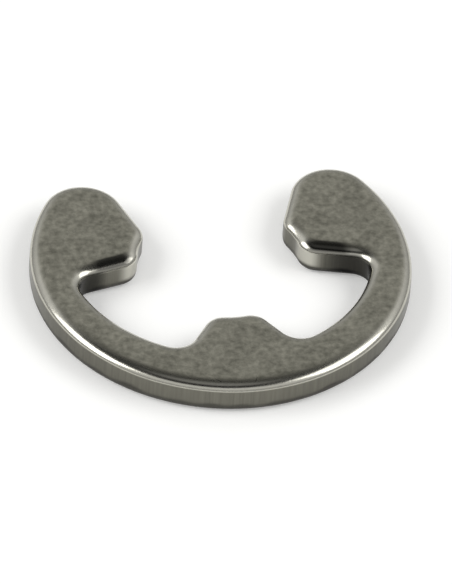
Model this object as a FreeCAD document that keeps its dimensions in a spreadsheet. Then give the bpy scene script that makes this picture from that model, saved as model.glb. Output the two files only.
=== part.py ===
"""An E clip: a retaining ring punched from spring steel, which snaps sideways into a shaft's groove.

Row frame, in millimetres: the shaft's axis is Z, the clip lies flat on z = 0 and its mouth opens towards +Y.
The clip is one piece. Half of its outline, the half at x > 0, is drawn with sharp corners, padded by the
stock's thickness and mirrored. Then the outline's corners are rounded as the punch rounds them, and the edges
of both faces as the die and the tumbling barrel round them.
"""

import FreeCAD
import Part
import Sketcher
import math
import os
from enum import IntEnum

V = FreeCAD.Vector

# Millimetres and degrees. Heights are above the shaft's axis, towards the mouth. The snap, heel and prong
# corners are measured on the flat of the upper face, inside its rounded edge.
SIZES = {
    "seat_diameter": (3.9, "the circle that all three prongs close on, 0.1 under the groove, so that they grip"),
    "shoulder_width": (2.55, "from the seat out to the rim, the shoulder that the clip gives a shaft"),
    "stock_thickness": (0.8, "the strip that the clip is punched from"),
    "back_width": (1.28, "the ring behind the middle prong, from the rim to the recesses"),
    "recess_shift": (0.40, "how far the recesses' centre lies towards the mouth, so that the arms taper"),
    "snap_height": (1.07, "corner between a head's mouth side and its seat, which snaps past the shaft"),
    "heel_height": (0.10, "corner between a head's seat and its underside"),
    "head_radius": (0.97, "the round end of each head"),
    "lead_in_angle": (20.0, "between a head's mouth side and the clip's centre line"),
    "underside_slope": (14.0, "fall of a head's underside towards the rim"),
    "prong_tip_width": (1.08, "the middle prong, where its flanks would meet the seat"),
    "prong_flank_angle": (35.0, "between a flank of the middle prong and the clip's centre line"),
    "snap_corner_radius": (0.28, "corner that snaps past the shaft"),
    "heel_corner_radius": (0.28, "corner at the heel of each head"),
    "pocket_corner_radius": (0.44, "inner corner between a head's underside and its recess"),
    "prong_root_radius": (0.52, "inner corner between a recess and the middle prong"),
    "prong_corner_radius": (0.28, "corners of the middle prong's tip"),
    "top_edge_radius": (0.22, "edge of the upper face, which the die draws in as it cuts"),
    "bottom_edge_radius": (0.12, "edge of the lower face, where tumbling takes off the burr"),
}

SAME_PLACE = 1e-4


class Place(IntEnum):
    """The numbers that a sketch gives the points of an edge."""

    START = 1
    END = 2
    CENTRE = 3


class Fixed(IntEnum):
    """The numbers that a sketch gives its own axes."""

    ACROSS = -1
    CENTRE_LINE = -2


# Each pair of corners: its radius through the thickness, and the end of an outline edge where it stands.
CORNERS = {
    "snap_corners": ("sizes.snap_corner_radius + sizes.top_edge_radius", "mouth_side", Place.END),
    "heel_corners": ("sizes.heel_corner_radius + sizes.top_edge_radius", "underside", Place.START),
    "pocket_corners": ("sizes.pocket_corner_radius", "underside", Place.END),
    "prong_roots": ("sizes.prong_root_radius", "flank", Place.START),
    "prong_corners": ("sizes.prong_corner_radius + sizes.top_edge_radius", "flank", Place.END),
}


def add_sheet(doc):
    """The spreadsheet that holds every driving size."""
    sheet = doc.addObject("Spreadsheet::Sheet", "sizes")
    for row, (name, (value, meaning)) in enumerate(SIZES.items(), start=1):
        sheet.set(f"A{row}", name)
        sheet.set(f"B{row}", str(value))
        sheet.set(f"C{row}", meaning)
        sheet.setAlias(f"B{row}", name)
    doc.recompute()
    return sheet


def polar(centre, radius, angle):
    """The point of a circle at an angle in degrees."""
    turn = math.radians(angle)
    return centre + V(radius * math.cos(turn), radius * math.sin(turn), 0)


def heading(centre, point):
    """The angle in degrees at which a point lies, seen from a circle's centre."""
    return math.degrees(math.atan2(point.y - centre.y, point.x - centre.x))


def at_height(radius, height):
    """The point at a height on a circle round the shaft's axis, on its +X side."""
    return V(math.sqrt(radius**2 - height**2), height, 0)


def leave_circle(point, angle, centre, radius):
    """Where a line from a point inside a circle, at an angle in degrees, meets the circle."""
    direction = polar(V(0, 0, 0), 1, angle)
    to_centre = centre - point
    along = to_centre.dot(direction)
    return point + direction * (along + math.sqrt(along**2 + radius**2 - to_centre.Length**2))


def outline_points(sheet):
    """Where the half outline's corners and centres lie, from which the sketch starts."""
    axis = V(0, 0, 0)
    seat_radius = sheet.seat_diameter / 2
    rim_radius = seat_radius + sheet.shoulder_width
    recess = (V(0, sheet.recess_shift, 0), rim_radius - sheet.back_width + sheet.recess_shift)
    snap = at_height(seat_radius, sheet.snap_height)
    heel = at_height(seat_radius, sheet.heel_height)
    into_head = polar(axis, sheet.head_radius, -sheet.lead_in_angle)
    head = leave_circle(snap + into_head, 90 - sheet.lead_in_angle, axis, rim_radius - sheet.head_radius)
    half_tip = sheet.prong_tip_width / 2
    tip = V(half_tip, -math.sqrt(seat_radius**2 - half_tip**2), 0)
    return {
        "axis": axis,
        "back": V(0, -rim_radius, 0),
        "rim_end": polar(axis, rim_radius, heading(axis, head)),
        "head": head,
        "head_end": head - into_head,
        "snap": snap,
        "heel": heel,
        "pocket": leave_circle(heel, -sheet.underside_slope, *recess),
        "recess": recess[0],
        "root": leave_circle(tip, sheet.prong_flank_angle - 90, *recess),
        "tip": tip,
        "seat_bottom": V(0, -seat_radius, 0),
    }


def add_edges(sketch, points):
    """The edges of the half outline, each with its ends in the order in which the outline runs."""
    edges = {}

    def line(name, first, last):
        geometry = Part.LineSegment(points[first], points[last])
        edges[name] = (sketch.addGeometry(geometry), Place.START, Place.END)

    def arc(name, centre, first, last, clockwise=False):
        middle = points[centre]
        circle = Part.Circle(middle, V(0, 0, 1), (points[first] - middle).Length)
        ends = (last, first) if clockwise else (first, last)
        angles = [math.radians(heading(middle, points[end])) for end in ends]
        places = (Place.END, Place.START) if clockwise else (Place.START, Place.END)
        edges[name] = (sketch.addGeometry(Part.ArcOfCircle(circle, *angles)), *places)

    arc("rim", "axis", "back", "rim_end")
    arc("head", "head", "rim_end", "head_end")
    line("mouth_side", "head_end", "snap")
    arc("head_seat", "axis", "snap", "heel", clockwise=True)
    line("underside", "heel", "pocket")
    arc("recess", "recess", "pocket", "root", clockwise=True)
    line("flank", "root", "tip")
    arc("prong_seat", "axis", "tip", "seat_bottom", clockwise=True)
    line("middle", "seat_bottom", "back")
    return edges


def join_edges(sketch, edges):
    """Close the outline, with the rim and the mouth side running smoothly into the round head."""
    names = list(edges)
    for name, follower in zip(names, names[1:] + names[:1]):
        kind = "Tangent" if "head" in (name, follower) else "Coincident"
        index, _, last = edges[name]
        next_index, first, _ = edges[follower]
        sketch.addConstraint(Sketcher.Constraint(kind, index, last, next_index, first))


def place_edges(sketch, edges):
    """Centre the rim and the seats on the shaft's axis, and the recess on the centre line."""
    for name in ("rim", "head_seat", "prong_seat"):
        places = (edges[name][0], Place.CENTRE, Fixed.ACROSS, Place.START)
        sketch.addConstraint(Sketcher.Constraint("Coincident", *places))
    for name, place in (("rim", Place.START), ("prong_seat", Place.START), ("recess", Place.CENTRE)):
        places = (edges[name][0], place, Fixed.CENTRE_LINE)
        sketch.addConstraint(Sketcher.Constraint("PointOnObject", *places))
    sketch.addConstraint(Sketcher.Constraint("Equal", edges["head_seat"][0], edges["prong_seat"][0]))


def size_edges(sketch, edges):
    """Dimension the sketch, with each dimension bound to the sheet."""

    def bind(kind, places, formula):
        value = sketch.evalExpression(formula)
        number = sketch.addConstraint(Sketcher.Constraint(kind, *places, value))
        sketch.setExpression(f"Constraints[{number}]", formula)

    def from_axis(edge, place):
        return (Fixed.ACROSS, Place.START, edges[edge][0], place)

    recess_radius = "sizes.seat_diameter / 2 + sizes.shoulder_width - sizes.back_width + sizes.recess_shift"
    bind("Diameter", (edges["rim"][0],), "sizes.seat_diameter + 2 * sizes.shoulder_width")
    bind("Radius", (edges["head"][0],), "sizes.head_radius")
    bind("Angle", (edges["mouth_side"][0],), "(270 - sizes.lead_in_angle) * 1 deg")
    bind("Diameter", (edges["head_seat"][0],), "sizes.seat_diameter")
    bind("DistanceY", from_axis("head_seat", Place.END), "sizes.snap_height")
    bind("DistanceY", from_axis("head_seat", Place.START), "sizes.heel_height")
    bind("Angle", (edges["underside"][0],), "-sizes.underside_slope * 1 deg")
    bind("Radius", (edges["recess"][0],), recess_radius)
    bind("DistanceY", from_axis("recess", Place.CENTRE), "sizes.recess_shift")
    bind("DistanceX", from_axis("flank", Place.END), "sizes.prong_tip_width / 2")
    bind("Angle", (edges["flank"][0],), "(90 + sizes.prong_flank_angle) * 1 deg")


def add_outline(doc, body, sheet):
    """The sketch of the half outline, on the plane of the lower face."""
    sketch = body.newObject("Sketcher::SketchObject", "half_outline")
    floor = next(plane for plane in body.Origin.OriginFeatures if plane.Role == "XY_Plane")
    sketch.AttachmentSupport = (floor, "")
    sketch.MapMode = "FlatFace"
    edges = add_edges(sketch, outline_points(sheet))
    join_edges(sketch, edges)
    place_edges(sketch, edges)
    size_edges(sketch, edges)
    doc.recompute()
    if not sketch.FullyConstrained:
        raise RuntimeError("the half outline isn't fully constrained")
    return sketch, edges


def add_blank(doc, body, sketch):
    """The sharp-cornered clip: half of it as thick as the strip, and its mirror image."""
    half = body.newObject("PartDesign::Pad", "half_blank")
    half.Profile = sketch
    half.setExpression("Length", "sizes.stock_thickness")
    doc.recompute()
    whole = body.newObject("PartDesign::Mirrored", "blank")
    whole.Originals = [half]
    whole.MirrorPlane = (sketch, ["V_Axis"])
    whole.Refine = True
    body.Tip = whole
    doc.recompute()
    return whole


def round_edges(doc, body, name, places, formula):
    """A fillet on edges or faces of the body's last feature, with its radius bound to the sheet."""
    fillet = body.newObject("PartDesign::Fillet", name)
    fillet.Base = places
    fillet.setExpression("Radius", formula)
    body.Tip = fillet
    doc.recompute()
    return fillet


def upright_edges(shape, corner):
    """The edges that run through the thickness at a corner of the half outline and at its mirror image."""
    names = []
    for number, edge in enumerate(shape.Edges, start=1):
        box = edge.BoundBox
        aside = math.hypot(abs(box.Center.x) - corner.x, box.Center.y - corner.y)
        if box.ZLength > SAME_PLACE and aside < SAME_PLACE:
            names.append(f"Edge{number}")
    return names


def flat_face(shape, height):
    """The face that lies flat at a height."""
    for number, face in enumerate(shape.Faces, start=1):
        box = face.BoundBox
        if box.ZLength < SAME_PLACE and abs(box.ZMin - height) < SAME_PLACE:
            return f"Face{number}"
    raise RuntimeError(f"no flat face at z = {height}")


def add_clip(doc, sheet):
    """The clip's body: its blank, then the outline's corners, then the edges of its two faces."""
    body = doc.addObject("PartDesign::Body", "e_clip")
    sketch, edges = add_outline(doc, body, sheet)
    last = add_blank(doc, body, sketch)
    for name, (formula, edge, place) in CORNERS.items():
        corner = sketch.getPoint(edges[edge][0], place)
        uprights = upright_edges(last.Shape, corner)
        last = round_edges(doc, body, name, (last, uprights), formula)
    for name, height in (("top_edge", sheet.stock_thickness), ("bottom_edge", 0)):
        face = flat_face(last.Shape, height)
        last = round_edges(doc, body, name, (last, [face]), f"sizes.{name}_radius")
    return body


def check_document(doc):
    """Stop on any object that failed without saying so."""
    for item in doc.Objects:
        if "Invalid" in item.State or "Error" in item.State:
            raise RuntimeError(f"{item.Label} failed: {item.State}")


def write_step(body):
    """The clip's solid, under its node's name."""
    shape = body.Shape
    if shape.isNull() or not shape.isValid() or len(shape.Solids) != 1:
        raise RuntimeError(f"{body.Label} isn't one valid solid")
    os.makedirs("parts", exist_ok=True)
    shape.exportStep(f"parts/{body.Label}.step")


def main():
    doc = FreeCAD.newDocument("e_clip")
    sheet = add_sheet(doc)
    clip = add_clip(doc, sheet)
    check_document(doc)
    write_step(clip)


main()
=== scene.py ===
# %% [markdown]
# # An E clip, looked at closely
#
# An E clip is a retaining ring. It is pushed sideways into a groove round a shaft, and its three prongs
# close on the bottom of that groove. It is punched out of thin spring steel, hardened, and tumbled in a
# barrel with small stones, which breaks its edges and leaves a soft grey surface. This one is 9 mm across
# and 0.8 mm thick.
#
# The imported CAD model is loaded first. It fixes the size and the place of everything that follows.

import math

import bmesh
import bpy
from mathutils import Matrix, Quaternion, Vector, noise


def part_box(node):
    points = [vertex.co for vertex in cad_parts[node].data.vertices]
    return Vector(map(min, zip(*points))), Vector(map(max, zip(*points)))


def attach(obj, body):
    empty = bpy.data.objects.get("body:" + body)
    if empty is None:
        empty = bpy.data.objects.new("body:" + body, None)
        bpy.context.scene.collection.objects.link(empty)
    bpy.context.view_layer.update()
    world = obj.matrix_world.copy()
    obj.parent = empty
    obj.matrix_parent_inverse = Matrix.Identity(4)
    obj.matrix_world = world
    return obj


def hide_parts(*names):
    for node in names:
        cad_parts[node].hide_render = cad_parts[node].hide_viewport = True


METRES_PER_MM = 0.001

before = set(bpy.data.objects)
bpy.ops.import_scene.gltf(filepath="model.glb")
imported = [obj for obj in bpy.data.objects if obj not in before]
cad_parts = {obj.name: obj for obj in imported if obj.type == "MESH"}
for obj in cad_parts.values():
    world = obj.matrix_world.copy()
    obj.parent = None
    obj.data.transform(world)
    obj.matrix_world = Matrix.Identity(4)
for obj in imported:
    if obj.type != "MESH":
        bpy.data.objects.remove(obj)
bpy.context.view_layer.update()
node_low, node_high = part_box("e_clip")

# %% [markdown]
# ## The sizes
#
# At 9 mm across, the numbers in metres are tiny, and Blender's mesh tools compare distances with fixed
# tolerances. So the clip is modelled in millimetres, and shrunk to metres in its last step. The rim and the
# thickness come from the frame. The other sizes are the clip's drawing sizes: the seat is the circle that
# the prongs close on, and heights count from the shaft's axis towards the mouth.

# %% Drawing sizes
AXIS = Vector((0, 0, 0))
UP = Vector((0, 0, 1))

rim_radius = node_high.x / METRES_PER_MM
thickness = node_high.z / METRES_PER_MM
seat_radius = 1.95
back_width = 1.28
recess_centre = Vector((0, 0.40, 0))
recess_radius = rim_radius - back_width + recess_centre.y
snap_height = 1.07
heel_height = 0.10
head_radius = 0.97
lead_in_angle = math.radians(20)
underside_slope = math.radians(14)
prong_half_width = 0.54
flank_angle = math.radians(35)
outer_corner = 0.5
pocket_corner = 0.44
root_corner = 0.52
print(f"rim radius {rim_radius:.3f} mm, thickness {thickness:.3f} mm")

# %% [markdown]
# ## The outline as a walk
#
# The outline could be traced point by point, but then no arc would be a true arc. A punch is ground from
# arcs and straight lines that run smoothly into each other, so the outline is drawn as a walk. A pen goes
# from arc to arc, and each arc is known by its centre and by the direction in which the pen leaves it.
# Straight lines need no entry of their own: the pen takes them where the next arc starts further on.
#
# Most centres are found the same way. A line of the outline is moved sideways by a corner's radius, and the
# centre is where that line leaves a circle.

# %% Geometry helpers
def step(angle, length=1.0):
    """A step of a given length in a direction."""
    return Vector((math.cos(angle), math.sin(angle), 0)) * length


def heading(point):
    """The direction in which a point lies, seen from the shaft's axis."""
    return math.atan2(point.y, point.x)


def at_height(radius, height):
    """The point at a height on a circle round the shaft's axis, on the +X side."""
    return Vector((math.sqrt(radius**2 - height**2), height, 0))


def leave_circle(point, angle, centre, radius):
    """Where a line from a point inside a circle leaves it."""
    to_centre = centre - point
    along = to_centre.dot(step(angle))
    reach = along + math.sqrt(along**2 + radius**2 - to_centre.length_squared)
    return point + step(angle, reach)


# %% Centres of the arcs
QUARTER = math.pi / 2

snap = at_height(seat_radius, snap_height)
heel = at_height(seat_radius, heel_height)
prong_tip = Vector((prong_half_width, -math.sqrt(seat_radius**2 - prong_half_width**2), 0))

into_head = -lead_in_angle
out_of_mouth = QUARTER - lead_in_angle
down_slope = -underside_slope
up_from_slope = QUARTER - underside_slope
down_flank = flank_angle - QUARTER
off_flank = flank_angle

round_seat = seat_radius + outer_corner
in_pocket = recess_radius - pocket_corner
in_root = recess_radius - root_corner

head_centre = leave_circle(snap + step(into_head, head_radius), out_of_mouth, AXIS, rim_radius - head_radius)
snap_centre = leave_circle(snap + step(into_head, outer_corner), out_of_mouth, AXIS, round_seat)
heel_centre = leave_circle(heel + step(up_from_slope, outer_corner), down_slope, AXIS, round_seat)
pocket_centre = leave_circle(heel - step(up_from_slope, pocket_corner), down_slope, recess_centre, in_pocket)
root_centre = leave_circle(prong_tip + step(off_flank, root_corner), down_flank, recess_centre, in_root)
prong_centre = leave_circle(prong_tip - step(off_flank, outer_corner), down_flank, AXIS, round_seat)
print("head centre in mm:", [round(value, 3) for value in head_centre[:2]])

# %% [markdown]
# ## Drawing the walk
#
# Spin sweeps a vertex round a centre and leaves edges behind it, which is all that an arc needs. Given a
# step to move by and no angle, the same operator sweeps it straight. The pen starts at the middle of the
# clip's back and walks counterclockwise, with the metal on its left. Where an arc turns left, its centre is
# on the left of the pen, and where it turns right, as in the pockets, the centre is on the right.
#
# Only the half at x > 0 is walked. Mirror makes the other half and joins the two on the centre line.

# %% Half of the outline
SPACING = 0.045
FEWEST_STEPS = 4
TOUCHING = 1e-4


def turned(angle):
    """The same angle, brought to between half a turn right and half a turn left."""
    return (angle + math.pi) % (2 * math.pi) - math.pi


def sweep(bm, pen, length, **path):
    """Sweep the pen along an arc or a line, with points an even spacing apart."""
    steps = max(FEWEST_STEPS, round(length / SPACING))
    if "dvec" in path:
        path["dvec"] = path["dvec"] / steps
    swept = bmesh.ops.spin(bm, geom=[pen], axis=UP, steps=steps, use_duplicate=False, **path)
    return swept["geom_last"][0]


# Each arc: its centre, its radius, and the direction in which the pen leaves it.
walk = [
    (AXIS, rim_radius, heading(head_centre) + QUARTER),
    (head_centre, head_radius, out_of_mouth + math.pi),
    (snap_centre, outer_corner, heading(snap_centre) - QUARTER),
    (AXIS, seat_radius, heading(heel_centre) - QUARTER),
    (heel_centre, outer_corner, down_slope),
    (pocket_centre, pocket_corner, heading(pocket_centre - recess_centre) - QUARTER),
    (recess_centre, recess_radius, heading(root_centre - recess_centre) - QUARTER),
    (root_centre, root_corner, down_flank + math.pi),
    (prong_centre, outer_corner, heading(prong_centre) - QUARTER),
    (AXIS, seat_radius, math.pi),
]

outline = bmesh.new()
pen = outline.verts.new((0, -rim_radius, 0))
direction = 0.0
for centre, radius, leaving in walk:
    turn = turned(leaving - direction)
    entry = centre + step(direction - math.copysign(QUARTER, turn), radius)
    way = entry - pen.co
    if way.length > TOUCHING:
        pen = sweep(outline, pen, way.length, cent=AXIS, angle=0, dvec=way)
    pen = sweep(outline, pen, abs(turn) * radius, cent=centre, angle=turn)
    direction = leaving
print(f"half outline: {len(outline.verts)} points, ends at x = {pen.co.x:.5f}, y = {pen.co.y:.4f} mm")

# %% The whole outline, filled
half = outline.verts[:] + outline.edges[:]
bmesh.ops.mirror(outline, geom=half, matrix=Matrix(), merge_dist=TOUCHING, axis="X")
bmesh.ops.remove_doubles(outline, verts=outline.verts[:], dist=TOUCHING)
bmesh.ops.contextual_create(outline, geom=outline.edges[:])
mouth = 2 * min(vert.co.x for vert in outline.verts if vert.co.x > 0 and 0 < vert.co.y < head_centre.y)
print(f"whole outline: {len(outline.verts)} points, {len(outline.faces)} face, mouth {mouth:.2f} mm")

# %% [markdown]
# ## The sheared wall
#
# A punch leaves different edges on the two sides of the sheet. Where it enters, the sheet is drawn down
# before it is cut, which leaves a wide soft roll. Where it leaves, the metal tears and a small burr stands
# up, and the barrel only takes that burr off. So the upper edge of this clip has a roll that reaches 0.42
# mm into the flat, and the lower one has a round of 0.18 mm. The straight wall is what remains between the
# two.
#
# Extruding the filled outline gives that wall. Its upright edges are divided, so that later the wall can be
# a little uneven.

# %% Extrude the wall
ROLL_WIDTH = 0.42
ROLL_HEIGHT = 0.21
BURR_ROUND = 0.18
WALL_CUTS = 7

wall_foot = BURR_ROUND
wall_top = thickness - ROLL_HEIGHT
bmesh.ops.translate(outline, verts=outline.verts[:], vec=UP * wall_foot)
extruded = bmesh.ops.extrude_face_region(outline, geom=outline.faces[:])
raised = [item for item in extruded["geom"] if isinstance(item, bmesh.types.BMVert)]
bmesh.ops.translate(outline, verts=raised, vec=UP * (wall_top - wall_foot))
bmesh.ops.recalc_face_normals(outline, faces=outline.faces[:])
upright = [edge for edge in outline.edges if abs(edge.verts[0].co.z - edge.verts[1].co.z) > TOUCHING]
bmesh.ops.subdivide_edges(outline, edges=upright, cuts=WALL_CUTS, use_grid_fill=True)
print(f"wall from z = {wall_foot:.3f} to {wall_top:.3f} mm, {len(outline.faces)} faces")

# %% [markdown]
# ## The rolled edges
#
# Bevel could round both edges in one call. But a roll isn't a circle's quarter: it falls steeply at the
# wall and fades slowly into the flat. So each flat face is inset again and again, a little inwards and a
# little up each time. With a softness of 2 the steps follow a quarter of an ellipse, and with more the
# curve fades more slowly. The last inset stays level, so that the flat inside it shades as a flat.

# %% Inset the flats step by step
ROLL_SOFTNESS = 2.7
ROLL_STEPS = 14
BURR_SOFTNESS = 2.0
BURR_STEPS = 5
LEVEL_RING = 0.03


def rolled(width, height, softness, steps):
    """Steps (inwards, up) that lead from an upright wall round to a flat."""
    angles = [QUARTER * number / steps for number in range(steps + 1)]
    inwards = [width * (1 - math.cos(angle) ** (2 / softness)) for angle in angles]
    upwards = [height * math.sin(angle) for angle in angles]
    return [(inwards[number + 1] - inwards[number], upwards[number + 1] - upwards[number])
            for number in range(steps)]


def inset_face(bm, face, steps):
    """Inset a face through a list of steps. The face itself moves inwards and keeps its identity."""
    for inwards, upwards in steps:
        bmesh.ops.inset_region(bm, faces=[face], thickness=inwards, depth=upwards, use_even_offset=True)


flats = sorted(outline.faces, key=lambda face: len(face.verts))[-2:]
lower_flat, upper_flat = sorted(flats, key=lambda face: face.calc_center_median().z)
level_ring = [(LEVEL_RING, 0)]
inset_face(outline, upper_flat, rolled(ROLL_WIDTH, ROLL_HEIGHT, ROLL_SOFTNESS, ROLL_STEPS) + level_ring)
inset_face(outline, lower_flat, rolled(BURR_ROUND, BURR_ROUND, BURR_SOFTNESS, BURR_STEPS) + level_ring)
heights = [vert.co.z for vert in outline.verts]
print(f"rounded: z from {min(heights):.4f} to {max(heights):.4f} mm, {len(outline.faces)} faces")

# %% [markdown]
# ## What the press and the barrel leave
# No stamped edge is as true as its drawing. Below the band that the punch has sheared, the metal has torn,
# and the wall leans in by a few hundredths of a millimetre. Painted contact shade darkens that torn band at
# the wall's foot. Tumbling wears the roll a little more in one place than in another. The stones can't get
# into the two narrow pockets behind the heads, so some black scale from the furnace stays there. Painted
# shade lies over it in each pocket's corner, more in the right pocket than in the left one. A painted dark
# line, which stands in for a dark reflection, runs along the roll of each head's underside. The stones
# rub most at the corners that stick out into the clip's middle. Those are the heels, where a head's
# underside meets the seat. They are worn bright, and a painted highlight makes them brighter still.
# seat, and they are burnished bright.
# The shape gets the lean and the wear as moves along the vertex normals. Blender's noise is the same for
# the same place, so each run makes the same clip. The moves only go inwards, so the clip keeps its drawing
# size. The finish needs all of this, so each point also carries four numbers for the material to read: how
# torn and how worn the metal is there, how much wear and painted highlight a heel has, and how much scale
# and painted shade lie there.

# %% Wear the wall and the roll
TORN_HEIGHT = 0.23
TORN_LEAN = 0.03
TORN_BORDER = 0.10
TORN_BORDER_LENGTH = 0.55
TORN_FADE = 0.05
ROLL_WANDER = 0.012
ROLL_WANDER_LENGTH = 0.9
# The painted dark line along each head's underside roll stands in for a dark reflection. These say how far it
# reaches from the underside's middle.
DARK_LINE_NEAR = 0.35
DARK_LINE_FAR = 0.64
# Painted shade in each pocket's corner, over some real scale, reaches further in the right pocket than in the
# left one.
POCKET_NEAR = 0.44
POCKET_FAR_LEFT = 0.65
POCKET_FAR_RIGHT = 1.1
# The heels are partly worn bright and partly carry a painted highlight. These say how far that reaches from
# each heel.
HEEL_NEAR = 0.2
HEEL_FAR = 0.55

# How steep a surface is runs from 0 on a flat to 1 on an upright wall.
FLAT = 0.0
# How steep the roll must be for the painted dark line to begin.
DARK_LINE_PROPER = 0.004
ROLL_PROPER = 0.08
ROLL_HALFWAY = 0.2
ROLL_ENDS = 0.6
WALL_BEGINS = 0.7
WALL_PROPER = 0.95


def fade(value, start, end):
    """0 at the start, 1 at the end, and smooth in between."""
    share = min(1.0, max(0.0, (value - start) / (end - start)))
    return share * share * (3 - 2 * share)


underside_middle = heel.lerp(pocket_centre + step(up_from_slope, pocket_corner), 0.5)
torn_layer = outline.verts.layers.float.new("torn")
worn_layer = outline.verts.layers.float.new("worn")
burnish_and_highlight_layer = outline.verts.layers.float.new("burnish_and_highlight")
scale_and_shade_layer = outline.verts.layers.float.new("scale_and_shade")
outline.normal_update()
moves = []
for vert in outline.verts:
    place = Vector((abs(vert.co.x), vert.co.y, 0))
    steepness = 1.0 - abs(vert.normal.z)
    off_the_flat = fade(steepness, FLAT, ROLL_PROPER)
    border = TORN_HEIGHT + TORN_BORDER * noise.noise(vert.co * Vector((1, 1, 0)) / TORN_BORDER_LENGTH)
    wander = (1 + noise.noise(vert.co / ROLL_WANDER_LENGTH)) / 2
    vert[torn_layer] = fade(vert.co.z, border + TORN_FADE, border - TORN_FADE) * off_the_flat
    vert[worn_layer] = off_the_flat * fade(steepness, WALL_PROPER, WALL_BEGINS)
    # Wear and a painted highlight on the heels.
    vert[burnish_and_highlight_layer] = off_the_flat * fade((place - heel).length, HEEL_FAR, HEEL_NEAR)
    pocket_far = POCKET_FAR_RIGHT if vert.co.x > 0 else POCKET_FAR_LEFT
    # Painted shade, over some real scale: a dark line on each head's underside roll, and darkening down the
    # walls in each pocket's corner.
    along_roll = fade(steepness, FLAT, DARK_LINE_PROPER) * fade(steepness, ROLL_ENDS, ROLL_HALFWAY)
    painted_underside_line = fade((place - underside_middle).length, DARK_LINE_FAR, DARK_LINE_NEAR) * along_roll
    down_the_wall = fade(steepness, ROLL_HALFWAY, ROLL_ENDS)
    in_corner = fade((place - pocket_centre).length, pocket_far, POCKET_NEAR) * down_the_wall
    vert[scale_and_shade_layer] = max(painted_underside_line, in_corner)
    lean = TORN_LEAN * max(0.0, border - vert.co.z) / border
    moves.append(vert.normal * -steepness * (lean + ROLL_WANDER * wander))
for vert, move in zip(outline.verts, moves):
    vert.co += move
print(f"{len(moves)} points, moved by {max(move.length for move in moves):.3f} mm at most")

# %% [markdown]
# ## From millimetres to the frame
#
# The clip is shrunk to metres and becomes an object at the origin, so that it sits where the CAD part sits.
# It rides on the only body, and it takes the place of the CAD solid.

# %% From millimetres to the clip object
for face in outline.faces:
    face.smooth = True
bmesh.ops.scale(outline, verts=outline.verts[:], vec=Vector((1, 1, 1)) * METRES_PER_MM)
mesh = bpy.data.meshes.new("clip")
outline.to_mesh(mesh)
outline.free()
clip = bpy.data.objects.new("clip", mesh)
bpy.context.scene.collection.objects.link(clip)
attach(clip, "root")
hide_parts("e_clip")
print(f"clip: {len(mesh.vertices)} points, {[round(side / METRES_PER_MM, 3) for side in clip.dimensions]} mm")

# %% [markdown]
# ## The finish: tumbled spring steel
#
# The clip is a carbon spring steel, hardened in oil and tumbled with stones. The oil leaves a thin grey
# film, a little green. The stones leave countless tiny dents, and rub the film off the edges, which come
# out brighter and smoother than the flats. The punch has drawn fine upright lines on the sheared band of
# the wall, and the torn band below is dull and made darker still by painted contact shade. The heels are
# the brightest place, by wear and by a painted highlight. The pockets are the darkest, by black scale and
# by painted shade.
#
# A metal shows hardly anything but its surroundings, so most of this has to come from its roughness and its
# relief. The base colour is only how much of the light comes back, and in which tint.

# %% Helpers for the material
def linear_share(value):
    """One colour's share, from 0 to 1, from sRGB to linear. The numbers are the sRGB standard's."""
    if value <= 0.04045:
        return value / 12.92
    return ((value + 0.055) / 1.055) ** 2.4


def linear(code):
    """An sRGB hex colour as the linear colour that a shader expects."""
    values = [int(code[place:place + 2], 16) / 255 for place in (0, 2, 4)]
    return [linear_share(value) for value in values] + [1.0]


def add_node(tree, kind, links=None, values=None, **settings):
    """Add a node with its settings, the values of its sockets, and what is linked to them."""
    node = tree.nodes.new(kind)
    for name, setting in settings.items():
        setattr(node, name, setting)
    for socket, value in (values or {}).items():
        node.inputs[socket].default_value = value
    for socket, source in (links or {}).items():
        tree.links.new(source, node.inputs[socket])
    return node


# A Mix node has a set of sockets for each kind of value. These are the numbers of the ones used here.
FLOAT_A = 2
FLOAT_B = 3
FLOAT_RESULT = 0
COLOUR_A = 6
COLOUR_B = 7
COLOUR_RESULT = 2

# %% [markdown]
# ### Where on the clip
#
# Object coordinates belong to the clip and not to the room, so its patterns stay on it when it is moved.
# They come in metres, and a Mapping node turns them to millimetres. A normal's upright share tells the
# wall, where it is near 0, from the flats, where it is 1. The four numbers that each point carries come in
# as attributes.

# %% Coordinates in millimetres, and the numbers of the mesh
WALL_FROM = 0.35
WALL_TO = 0.10

steel = bpy.data.materials.new("tumbled_spring_steel")
steel.use_nodes = True
tree = steel.node_tree
tree.nodes.clear()
coordinates = add_node(tree, "ShaderNodeTexCoord")
in_mm = add_node(tree, "ShaderNodeMapping", {"Vector": coordinates.outputs["Object"]},
                 {"Scale": [1 / METRES_PER_MM] * 3})
normal = add_node(tree, "ShaderNodeSeparateXYZ", {"Vector": coordinates.outputs["Normal"]})
level = add_node(tree, "ShaderNodeMath", {0: normal.outputs["Z"]}, operation="ABSOLUTE")
on_wall = add_node(tree, "ShaderNodeMapRange", {"Value": level.outputs[0]},
                   {"From Min": WALL_FROM, "From Max": WALL_TO}, interpolation_type="SMOOTHSTEP")
torn = add_node(tree, "ShaderNodeAttribute", attribute_name="torn")
worn = add_node(tree, "ShaderNodeAttribute", attribute_name="worn")
burnish_and_highlight = add_node(tree, "ShaderNodeAttribute", attribute_name="burnish_and_highlight")
scale_and_shade = add_node(tree, "ShaderNodeAttribute", attribute_name="scale_and_shade")

# %% [markdown]
# ### Patterns, from large to small
#
# Each pattern's scale is one over its real size in millimetres. The film is cloudy over 0.6 mm. The stones'
# dents are about 0.16 mm wide, with finer grain inside them. The lines on the wall are 0.05 mm apart, and
# run through the whole height because the pattern is stretched along Z. The scratches are drawn 0.03 mm
# wide, which is wider than real ones, because finer ones wouldn't show. They run in two directions. A
# Mapping node scales before it turns, so one node turns the pattern and a second one draws it out. Only the
# crests are kept, so the scratches stay few and short.
#
# Detail is how many times a noise repeats itself at half the size, and Roughness is how strong the finer
# ones are.

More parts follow.
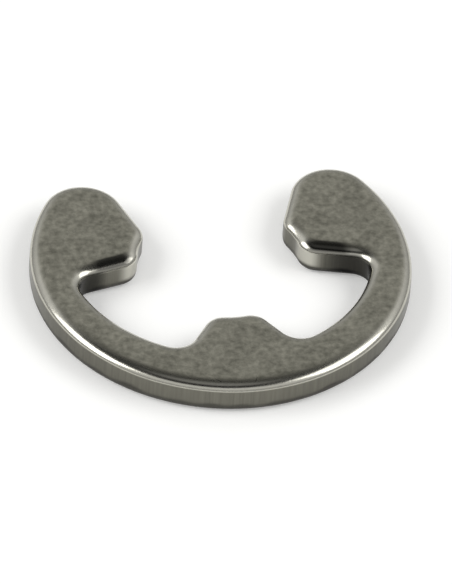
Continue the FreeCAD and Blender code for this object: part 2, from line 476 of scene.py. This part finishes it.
# %% Film, dents, grit and lines
CLOUD_SIZE = 0.6
CLOUD_DETAIL = 3.0
DENT_SIZE = 0.16
DENT_DETAIL = 4.0
DENT_GRAIN = 0.6
GRIT_SIZE = 0.035
GRIT_DETAIL = 3.0
GRIT_GRAIN = 0.7
LINE_SPACING = 0.05
LINE_LENGTH = 1.2
LINE_DETAIL = 3.0

clouds = add_node(tree, "ShaderNodeTexNoise", {"Vector": in_mm.outputs[0]},
                  {"Scale": 1 / CLOUD_SIZE, "Detail": CLOUD_DETAIL})
dents = add_node(tree, "ShaderNodeTexNoise", {"Vector": in_mm.outputs[0]},
                 {"Scale": 1 / DENT_SIZE, "Detail": DENT_DETAIL, "Roughness": DENT_GRAIN})
grit = add_node(tree, "ShaderNodeTexNoise", {"Vector": in_mm.outputs[0]},
                {"Scale": 1 / GRIT_SIZE, "Detail": GRIT_DETAIL, "Roughness": GRIT_GRAIN})
stretched = add_node(tree, "ShaderNodeMapping", {"Vector": in_mm.outputs[0]},
                     {"Scale": (1 / LINE_SPACING, 1 / LINE_SPACING, 1 / LINE_LENGTH)})
lines = add_node(tree, "ShaderNodeTexNoise", {"Vector": stretched.outputs[0]},
                 {"Scale": 1.0, "Detail": LINE_DETAIL})
print(f"patterns: clouds {CLOUD_SIZE} mm, dents {DENT_SIZE} mm, lines {LINE_SPACING} mm, grit {GRIT_SIZE} mm")

# %% Scratches
SCRATCH_WIDTH = 0.03
SCRATCH_LENGTH = 1.4
SCRATCH_DETAIL = 1.0
SCRATCH_HEADINGS = (math.radians(25), math.radians(-50))
SCRATCH_CREST = (0.70, 0.78)

scratched = []
for scratch_heading in SCRATCH_HEADINGS:
    facing = add_node(tree, "ShaderNodeMapping", {"Vector": in_mm.outputs[0]},
                      {"Rotation": (0, 0, scratch_heading)})
    drawn_out = add_node(tree, "ShaderNodeMapping", {"Vector": facing.outputs[0]},
                         {"Scale": (1 / SCRATCH_WIDTH, 1 / SCRATCH_LENGTH, 1)})
    threads = add_node(tree, "ShaderNodeTexNoise", {"Vector": drawn_out.outputs[0]},
                       {"Scale": 1.0, "Detail": SCRATCH_DETAIL})
    scratched.append(add_node(tree, "ShaderNodeMapRange", {"Value": threads.outputs[0]},
                              {"From Min": SCRATCH_CREST[0], "From Max": SCRATCH_CREST[1]},
                              interpolation_type="SMOOTHSTEP"))
scratches = add_node(tree, "ShaderNodeMath", {0: scratched[0].outputs[0], 1: scratched[1].outputs[0]},
                     operation="MAXIMUM")
print(f"scratches: {len(scratched)} directions, {SCRATCH_WIDTH} mm wide")

# %% [markdown]
# ### Colour
#
# The colours lie on each other in the order in which the clip got them, and the painted light lies in
# with them. The film comes first, lighter and darker by the clouds and the dents. The rubbed edges lie over
# it, the sheared metal covers the wall, and at the heels both are burnished and carry a painted highlight.
# The torn band, darkened by painted contact shade, and the pockets' scale and painted shade come last.

# %% Colour
FILM_DARK = "6F6E63"
FILM_LIGHT = "9A988B"
FILM_CONTRAST = (0.34, 0.66)
DENT_SHARE = 0.7
# The colour of the rubbed edges, and of the painted highlight on the heels.
RUBBED_AND_HIGHLIGHT = "C8C6BC"
RUBBED_SHARE = 0.7
# How much of the heels' wear and painted highlight shows.
BURNISH_AND_HIGHLIGHT_SHARE = 0.8
SHEARED_DARK = "5E5D56"
SHEARED_LIGHT = "7C7A70"
# The torn band is dull metal, made darker by painted contact shade at the wall's foot.
TORN_AND_SHADE_DARK = "3A3935"
TORN_AND_SHADE_LIGHT = "605E58"
# Partly the black scale in the pockets, and partly painted shade there and a painted dark line along each
# head's underside.
SCALE_AND_PAINTED_SHADE = "2A2927"
SCALE_AND_SHADE_SHARE = 0.85
# Painted contact shade at the foot of the pocket walls, over some real scale.
SCALE_AND_CONTACT_SHADE = "0E0E0E"


def mix_colours(tree, factor, first, second):
    """Mix two colours by a node's output. Each colour is a hex code or a node's output too."""
    links = {"Factor": factor}
    values = {}
    for socket, source in ((COLOUR_A, first), (COLOUR_B, second)):
        if isinstance(source, str):
            values[socket] = linear(source)
        else:
            links[socket] = source
    return add_node(tree, "ShaderNodeMix", links, values, data_type="RGBA").outputs[COLOUR_RESULT]


mottle = add_node(tree, "ShaderNodeMix", {FLOAT_A: clouds.outputs[0], FLOAT_B: dents.outputs[0]},
                  {"Factor": DENT_SHARE})
contrast = add_node(tree, "ShaderNodeMapRange", {"Value": mottle.outputs[FLOAT_RESULT]},
                    {"From Min": FILM_CONTRAST[0], "From Max": FILM_CONTRAST[1]})
shares = []
for layer, share in ((worn, RUBBED_SHARE), (burnish_and_highlight, BURNISH_AND_HIGHLIGHT_SHARE), (scale_and_shade, SCALE_AND_SHADE_SHARE)):
    shares.append(add_node(tree, "ShaderNodeMath", {0: layer.outputs["Fac"]}, {1: share},
                           operation="MULTIPLY"))
rubbed, heel_highlight_share, scale_and_shade_share = shares

film = mix_colours(tree, contrast.outputs[0], FILM_DARK, FILM_LIGHT)
film_and_edge = mix_colours(tree, rubbed.outputs[0], film, RUBBED_AND_HIGHLIGHT)
sheared = mix_colours(tree, lines.outputs[0], SHEARED_DARK, SHEARED_LIGHT)
wall_and_edge = mix_colours(tree, on_wall.outputs[0], film_and_edge, sheared)
# Wear and a painted highlight on the heels.
untorn = mix_colours(tree, heel_highlight_share.outputs[0], wall_and_edge, RUBBED_AND_HIGHLIGHT)
# Scale and painted shade in the pockets and along each head's underside.
untorn_with_scale_and_shade = mix_colours(tree, scale_and_shade_share.outputs[0], untorn, SCALE_AND_PAINTED_SHADE)
# The torn band, with painted contact shade at the wall's foot and in the pockets.
torn_metal_and_shade = mix_colours(tree, grit.outputs[0], TORN_AND_SHADE_DARK, TORN_AND_SHADE_LIGHT)
torn_with_scale_and_shade = mix_colours(tree, scale_and_shade.outputs["Fac"], torn_metal_and_shade, SCALE_AND_CONTACT_SHADE)
colour = mix_colours(tree, torn.outputs["Fac"], untorn_with_scale_and_shade, torn_with_scale_and_shade)
print(f"colour: {len(tree.nodes)} nodes so far")

# %% [markdown]
# ### Roughness
#
# A metal's base colour only tints its reflections. How sharp they are is what tells steel from paint. The
# film is dull, and a little less so where it is light. The barrel has smoothed the rolled edges, so they
# draw thin bright lines round the clip, and the torn band scatters nearly everything.

# %% Roughness
FILM_DULL = 0.38
FILM_SMOOTH = 0.28
EDGE_ROUGHNESS = 0.2
WALL_ROUGHNESS = 0.28
TORN_ROUGHNESS = 0.48
SCRATCH_ROUGHNESS = 0.22

dull = add_node(tree, "ShaderNodeMapRange", {"Value": contrast.outputs[0]},
                {"To Min": FILM_DULL, "To Max": FILM_SMOOTH})
roughness = dull.outputs[0]
for share, smoothness in ((scratches.outputs[0], SCRATCH_ROUGHNESS), (worn.outputs["Fac"], EDGE_ROUGHNESS),
                          (on_wall.outputs[0], WALL_ROUGHNESS), (torn.outputs["Fac"], TORN_ROUGHNESS)):
    layered = add_node(tree, "ShaderNodeMix", {"Factor": share, FLOAT_A: roughness}, {FLOAT_B: smoothness})
    roughness = layered.outputs[FLOAT_RESULT]
print(f"roughness: {FILM_DULL} to {FILM_SMOOTH} on the flats, {EDGE_ROUGHNESS} on the edges")

# %% [markdown]
# ### Relief
#
# The dents, the lines and the torn metal's grit are only a few thousandths of a millimetre deep. That is
# too small for the mesh, but a Bump node can tilt the shading by them. Its distance is one millimetre, so
# each pattern is multiplied by its depth in millimetres.

# %% Relief and shader
DENT_DEPTH = 0.0016
LINE_DEPTH = 0.0012
GRIT_DEPTH = 0.004

depths = []
for pattern, depth in ((dents, DENT_DEPTH), (lines, LINE_DEPTH), (grit, GRIT_DEPTH)):
    depths.append(add_node(tree, "ShaderNodeMath", {0: pattern.outputs[0]}, {1: depth}, operation="MULTIPLY"))
dented, lined, gritty = depths
flat_relief = add_node(tree, "ShaderNodeMix",
                       {"Factor": on_wall.outputs[0], FLOAT_A: dented.outputs[0], FLOAT_B: lined.outputs[0]})
torn_relief = {"Factor": torn.outputs["Fac"], FLOAT_A: flat_relief.outputs[0], FLOAT_B: gritty.outputs[0]}
relief = add_node(tree, "ShaderNodeMix", torn_relief)
bump = add_node(tree, "ShaderNodeBump", {"Height": relief.outputs[0]}, {"Distance": METRES_PER_MM})
shader = add_node(tree, "ShaderNodeBsdfPrincipled",
                  {"Base Color": colour, "Roughness": roughness, "Normal": bump.outputs[0]},
                  {"Metallic": 1.0})
add_node(tree, "ShaderNodeOutputMaterial", {"Surface": shader.outputs["BSDF"]})
mesh.materials.append(steel)
print(f"steel: {len(tree.nodes)} nodes")

# %% [markdown]
# ## White paper to lie on
#
# The clip lies on plain white paper. A large disc is enough, because its rim is far outside the view. Paper
# is a matt white that scatters light evenly, which is what a Diffuse shader does.
#
# Lit paper still renders a little grey next to a photograph's white. More light would also burn out the
# clip's edges, so the paper glows faintly instead, and only for rays that come from the camera or from the
# clip's shine. The shadow under the clip stays. The disc lies a hundredth of a millimetre below the clip's
# underside, because a renderer can't tell which of two surfaces at the same height is in front.

# %% Floor
FLOOR_RADIUS = 0.5
FLOOR_SEGMENTS = 96
FLOOR_DEPTH = 0.01 * METRES_PER_MM
FLOOR_LIFT = 0.19
PAPER = "F4F4F2"

floor_mesh = bpy.data.meshes.new("floor")
sheet = bmesh.new()
bmesh.ops.create_circle(sheet, cap_ends=True, segments=FLOOR_SEGMENTS, radius=FLOOR_RADIUS)
bmesh.ops.translate(sheet, verts=sheet.verts[:], vec=UP * -FLOOR_DEPTH)
sheet.to_mesh(floor_mesh)
sheet.free()
floor = bpy.data.objects.new("floor", floor_mesh)
bpy.context.scene.collection.objects.link(floor)

paper = bpy.data.materials.new("white_paper")
paper.use_nodes = True
tree = paper.node_tree
tree.nodes.clear()
path = add_node(tree, "ShaderNodeLightPath")
seen = add_node(tree, "ShaderNodeMath", {0: path.outputs["Is Camera Ray"], 1: path.outputs["Is Glossy Ray"]},
                operation="MAXIMUM")
lift = add_node(tree, "ShaderNodeMath", {0: seen.outputs[0]}, {1: FLOOR_LIFT}, operation="MULTIPLY")
scattered = add_node(tree, "ShaderNodeBsdfDiffuse", values={"Color": linear(PAPER)})
glow = add_node(tree, "ShaderNodeEmission", {"Strength": lift.outputs[0]})
both = add_node(tree, "ShaderNodeAddShader", {0: scattered.outputs[0], 1: glow.outputs[0]})
add_node(tree, "ShaderNodeOutputMaterial", {"Surface": both.outputs[0]})
floor_mesh.materials.append(paper)
print(f"floor: {2 * FLOOR_RADIUS:.1f} m across")

# %% [markdown]
# ## The room round the clip
#
# Steel shows the room that it lies in. Here that is a light tent. Near the table its cloth is dim, and it
# grows brighter up to 39 degrees. The flat mirrors the bright part, which gives it an even grey. Above 47
# degrees the cloth ends in an opening, where the room is dark. That opening draws the dark line along the
# near edges, because the roll there leans just enough to mirror it. Right overhead a pale lid closes the
# tent, so that the clip isn't black when it is seen from above.
#
# The world is that tent. Its brightness depends only on height: on the Z of the direction in which a ray
# leaves, which is the sine of its angle above the table. So each Map Range node below starts and ends at
# the sine of an angle. The camera itself sees plain white.

# %% World
TABLE_BRIGHTNESS = 0.4
CLOTH_BRIGHTNESS = 1.08
LID_BRIGHTNESS = 0.4
CLOTH_BEGINS = math.radians(39)
CLOTH_ENDS = math.radians(47)
OPENING_BEGINS = math.radians(60)
OPENING_ENDS = math.radians(70)
LID_BEGINS = math.radians(90)

world = bpy.data.worlds.new("light_tent")
bpy.context.scene.world = world
world.use_nodes = True
tree = world.node_tree
tree.nodes.clear()
ray = add_node(tree, "ShaderNodeTexCoord")
split = add_node(tree, "ShaderNodeSeparateXYZ", {0: ray.outputs["Generated"]})
low_cloth = add_node(tree, "ShaderNodeMapRange", {"Value": split.outputs["Z"]},
                     {"From Max": math.sin(CLOTH_BEGINS),
                      "To Min": TABLE_BRIGHTNESS, "To Max": CLOTH_BRIGHTNESS})
opening = add_node(tree, "ShaderNodeMapRange", {"Value": split.outputs["Z"]},
                   {"From Min": math.sin(CLOTH_ENDS), "From Max": math.sin(OPENING_BEGINS),
                    "To Min": 1.0, "To Max": 0.0}, interpolation_type="SMOOTHSTEP")
cloth = add_node(tree, "ShaderNodeMath", {0: low_cloth.outputs[0], 1: opening.outputs[0]},
                 operation="MULTIPLY")
lid = add_node(tree, "ShaderNodeMapRange", {"Value": split.outputs["Z"]},
               {"From Min": math.sin(OPENING_ENDS), "From Max": math.sin(LID_BEGINS),
                "To Min": 0.0, "To Max": LID_BRIGHTNESS}, interpolation_type="SMOOTHSTEP")
tent = add_node(tree, "ShaderNodeMath", {0: cloth.outputs[0], 1: lid.outputs[0]}, operation="ADD")
path = add_node(tree, "ShaderNodeLightPath")
strength = add_node(tree, "ShaderNodeMix",
                    {"Factor": path.outputs["Is Camera Ray"], FLOAT_A: tent.outputs[0]}, {FLOAT_B: 1.0})
background = add_node(tree, "ShaderNodeBackground", {"Strength": strength.outputs[FLOAT_RESULT]})
add_node(tree, "ShaderNodeOutputWorld", {"Surface": background.outputs[0]})
print(f"tent: {TABLE_BRIGHTNESS} at the table, {CLOTH_BRIGHTNESS} above it, lid {LID_BRIGHTNESS}")

# %% [markdown]
# ## The camera
#
# A small thing is photographed with a long lens from a good distance, so its far side is drawn nearly as
# large as its near side. This one is 0.4 m away. It looks down at 43 degrees, from a little to the left of
# the clip's middle, and it is tilted sideways by a few degrees. A point on a sphere round the clip gives
# the place, and the direction back to the clip gives the rotation: a camera looks along its own -Z.

# %% Camera
CAMERA_DISTANCE = 0.4
CAMERA_LENS = 1051
CAMERA_PITCH = math.radians(42.7)
CAMERA_SWING = math.radians(12.5)
CAMERA_ROLL = math.radians(4.4)


def towards(azimuth, elevation):
    """The direction of a compass angle, counted from +X, and a height angle."""
    level_part = math.cos(elevation)
    return Vector((level_part * math.cos(azimuth), level_part * math.sin(azimuth), math.sin(elevation)))


camera_data = bpy.data.cameras.new("camera")
camera_data.lens = CAMERA_LENS
camera = bpy.data.objects.new("camera", camera_data)
bpy.context.scene.collection.objects.link(camera)
camera_azimuth = -QUARTER - CAMERA_SWING
away = towards(camera_azimuth, CAMERA_PITCH)
middle = Vector((0, (node_low.y + node_high.y) / 2, node_high.z / 2))
camera.location = middle + away * CAMERA_DISTANCE
camera.rotation_euler = (away.to_track_quat("Z", "Y") @ Quaternion(UP, CAMERA_ROLL)).to_euler()
bpy.context.scene.camera = camera
print("camera at", [round(value, 3) for value in camera.location])

# %% [markdown]
# ## Two softboxes
#
# The tent alone would leave the steel flat and lifeless. Two softboxes stand at its sides, and the smooth
# rolled edges mirror them as bright streaks, one on each arm. A box's width gives the streak its length,
# and its height above the table decides how far down the roll the streak lies. The boxes aren't stood lower
# or lit more strongly than this, because in a view from the side the flats mirror the box on the other
# side, and would burn out white.

# %% Lights
BOX_DISTANCE = 0.45
BOX_WIDTH = 0.32
BOX_HEIGHT = 0.26
LEFT_AZIMUTH = math.radians(-80)
LEFT_ELEVATION = math.radians(38)
LEFT_POWER = 0.95
RIGHT_AZIMUTH = math.radians(90)
RIGHT_ELEVATION = math.radians(44)
RIGHT_POWER = 0.72


def add_softbox(name, azimuth, elevation, power):
    """A softbox that faces the clip from a side of the camera."""
    lamp = bpy.data.lights.new(name, "AREA")
    lamp.shape = "RECTANGLE"
    lamp.size = BOX_WIDTH
    lamp.size_y = BOX_HEIGHT
    lamp.energy = power
    softbox = bpy.data.objects.new(name, lamp)
    bpy.context.scene.collection.objects.link(softbox)
    place = towards(camera_azimuth + azimuth, elevation)
    softbox.location = place * BOX_DISTANCE
    softbox.rotation_euler = place.to_track_quat("Z", "Y").to_euler()
    print(f"{name}: {power} W at {[round(value, 3) for value in softbox.location]}")


add_softbox("left_softbox", LEFT_AZIMUTH, LEFT_ELEVATION, LEFT_POWER)
add_softbox("right_softbox", RIGHT_AZIMUTH, RIGHT_ELEVATION, RIGHT_POWER)

# %% [markdown]
# ## Finish
#
# The Standard view shows colours as they are written.

# %% Finish
bpy.context.scene.view_settings.view_transform = "Standard"
